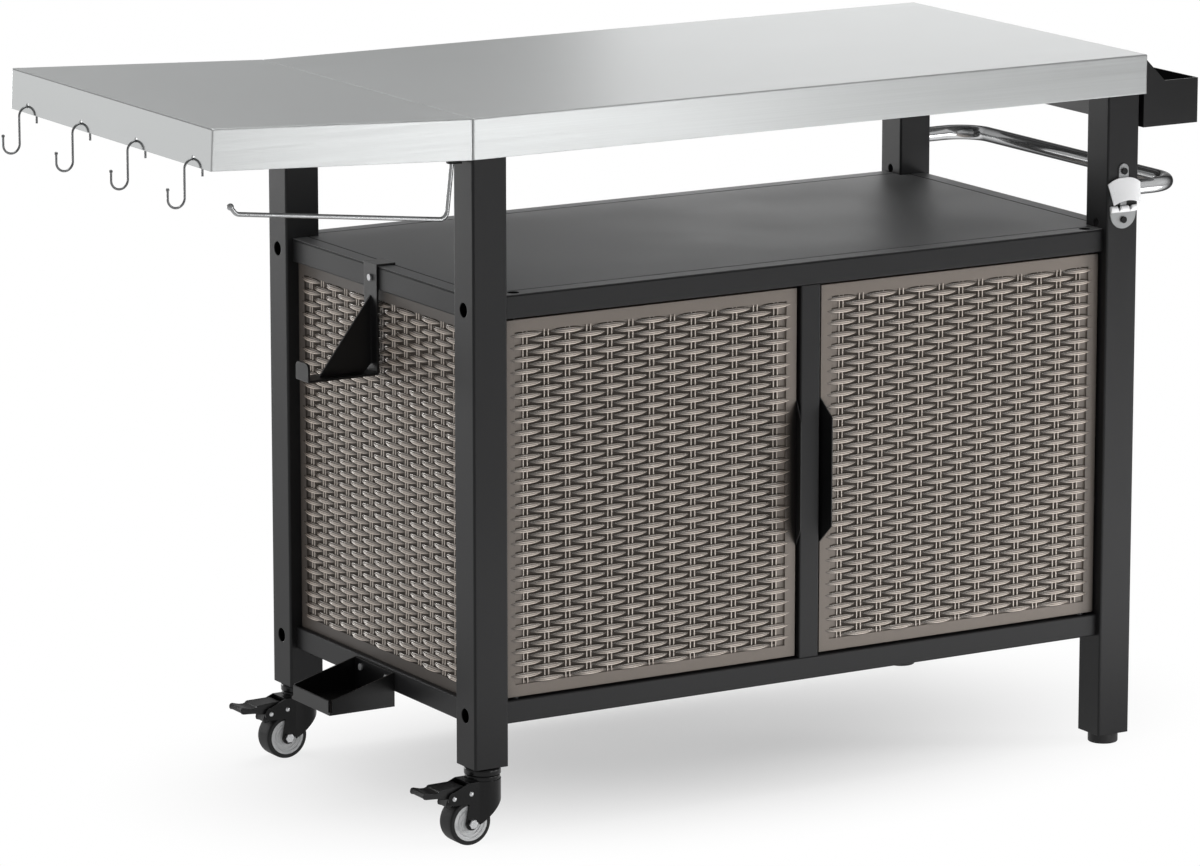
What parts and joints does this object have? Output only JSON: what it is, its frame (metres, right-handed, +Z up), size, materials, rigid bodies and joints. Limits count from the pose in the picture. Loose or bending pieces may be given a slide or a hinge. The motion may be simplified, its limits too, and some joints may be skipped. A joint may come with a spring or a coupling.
{
  "type": "kitchen cart",
  "caption": "Kitchen cart with a steel top and raised side leaf, a shelf, a wicker-pattern cabinet with hinged doors, braked casters, a push handle, a spice rack and hooks.",
  "frame": {"origin": "on the floor, under the middle of the cart's bounding box", "axes": "+X along the cart, from the side leaf to the push handle; +Y from the doors to the back; +Z up"},
  "size_m": [1.5328, 0.5716, 0.9679],
  "materials": {
    "steel_top": "fine straight grain",
    "frame_paint": "satin powder coat",
    "deck_paint": "fine textured powder coat",
    "wicker": "moulded, satin",
    "black_plate": "satin powder coat",
    "bright_steel": "polished",
    "black_plastic": "moulded, matt",
    "fastener": "zinc plated",
    "magnet": "moulded",
    "fork_plate": "gloss black plating",
    "hub_plastic": "moulded, satin",
    "tyre": "moulded, matt"
  },
  "bodies": {
    "cart": {"back_panel": "wicker", "bottle_hook": "black_plate", "bottle_opener": "bright_steel", "bottle_tray": "black_plate", "cabinet_floor": "deck_paint", "caster_back_stem": "fork_plate", "caster_front_stem": "fork_plate", "deck": "deck_paint", "door_post": "frame_paint", "fitting_screws": "fastener", "frame_bolts": "fastener", "hinge_pins": "fastener", "leg_back_left": "frame_paint", "leg_back_right": "frame_paint", "leg_front_left": "frame_paint", "leg_front_right": "frame_paint", "leg_plugs": "black_plastic", "low_rail_back": "frame_paint", "low_rail_front": "frame_paint", "low_rail_left": "frame_paint", "low_rail_right": "frame_paint", "magnet_catches": "magnet", "main_top": "steel_top", "mid_rail_back": "frame_paint", "mid_rail_front": "frame_paint", "mid_rail_left": "frame_paint", "mid_rail_right": "frame_paint", "push_handle": "bright_steel", "rod_clip": "black_plastic", "seam_bolts": "fastener", "side_leaf": "steel_top", "side_panel_left": "wicker", "side_panel_right": "wicker", "spice_rack": "black_plate", "top_stiffeners": "steel_top", "towel_rod": "bright_steel", "upper_rail_left": "frame_paint", "upper_rail_right": "frame_paint"},
    "door_left": {"door_left": "wicker", "door_pull_left": "black_plate", "strike_left": "fastener"},
    "door_right": {"door_right": "wicker", "door_pull_right": "black_plate", "strike_right": "fastener"},
    "caster_front_fork": {"caster_front_fork": "fork_plate", "caster_front_pins": "fastener"},
    "caster_front_wheel": {"caster_front_hub": "hub_plastic", "caster_front_tyre": "tyre"},
    "caster_front_pedal": {"caster_front_pedal": "black_plastic"},
    "caster_back_fork": {"caster_back_fork": "fork_plate", "caster_back_pins": "fastener"},
    "caster_back_wheel": {"caster_back_hub": "hub_plastic", "caster_back_tyre": "tyre"},
    "caster_back_pedal": {"caster_back_pedal": "black_plastic"},
    "foot_front": {"foot_front": "black_plastic"},
    "foot_back": {"foot_back": "black_plastic"},
    "s_hook_1": {"s_hook_1": "bright_steel"},
    "s_hook_2": {"s_hook_2": "bright_steel"},
    "s_hook_3": {"s_hook_3": "bright_steel"},
    "s_hook_4": {"s_hook_4": "bright_steel"}
  },
  "joints": [
    {"name": "door_left_hinge", "type": "hinge", "parent": "cart", "child": "door_left", "pos_m": [-0.28509, -0.25025, 0.43425], "axis": [0, 0, -1], "range_deg": [0, 110]},
    {"name": "door_right_hinge", "type": "hinge", "parent": "cart", "child": "door_right", "pos_m": [0.59991, -0.25025, 0.43425], "axis": [0, 0, 1], "range_deg": [0, 110]},
    {"name": "caster_front_swivel", "type": "hinge", "parent": "cart", "child": "caster_front_fork", "pos_m": [-0.33109, -0.24725, 0.084], "axis": [0, 0, 1], "continuous": true},
    {"name": "caster_front_roll", "type": "hinge", "parent": "caster_front_fork", "child": "caster_front_wheel", "pos_m": [-0.35709, -0.24725, 0.03], "axis": [0, 1, 0], "continuous": true},
    {"name": "caster_front_brake", "type": "hinge", "parent": "caster_front_fork", "child": "caster_front_pedal", "pos_m": [-0.3831, -0.24725, 0.066], "axis": [0, -1, 0], "range_deg": [0, 12]},
    {"name": "caster_back_swivel", "type": "hinge", "parent": "cart", "child": "caster_back_fork", "pos_m": [-0.33109, 0.25475, 0.084], "axis": [0, 0, 1], "continuous": true},
    {"name": "caster_back_roll", "type": "hinge", "parent": "caster_back_fork", "child": "caster_back_wheel", "pos_m": [-0.35709, 0.25475, 0.03], "axis": [0, 1, 0], "continuous": true},
    {"name": "caster_back_brake", "type": "hinge", "parent": "caster_back_fork", "child": "caster_back_pedal", "pos_m": [-0.3831, 0.25475, 0.066], "axis": [0, -1, 0], "range_deg": [0, 12]},
    {"name": "foot_front_level", "type": "slide", "parent": "cart", "child": "foot_front", "axis": [0, 0, 1], "range_m": [-0.015, 0]},
    {"name": "foot_back_level", "type": "slide", "parent": "cart", "child": "foot_back", "axis": [0, 0, 1], "range_m": [-0.015, 0]},
    {"name": "s_hook_1_swing", "type": "hinge", "parent": "cart", "child": "s_hook_1", "pos_m": [-0.72821, -0.23075, 0.924], "axis": [1, 0, 0], "range_deg": [-30, 30]},
    {"name": "s_hook_2_swing", "type": "hinge", "parent": "cart", "child": "s_hook_2", "pos_m": [-0.72821, -0.07475, 0.924], "axis": [1, 0, 0], "range_deg": [-30, 30]},
    {"name": "s_hook_3_swing", "type": "hinge", "parent": "cart", "child": "s_hook_3", "pos_m": [-0.72821, 0.08125, 0.924], "axis": [1, 0, 0], "range_deg": [-30, 30]},
    {"name": "s_hook_4_swing", "type": "hinge", "parent": "cart", "child": "s_hook_4", "pos_m": [-0.72821, 0.23725, 0.924], "axis": [1, 0, 0], "range_deg": [-30, 30]}
  ]
}
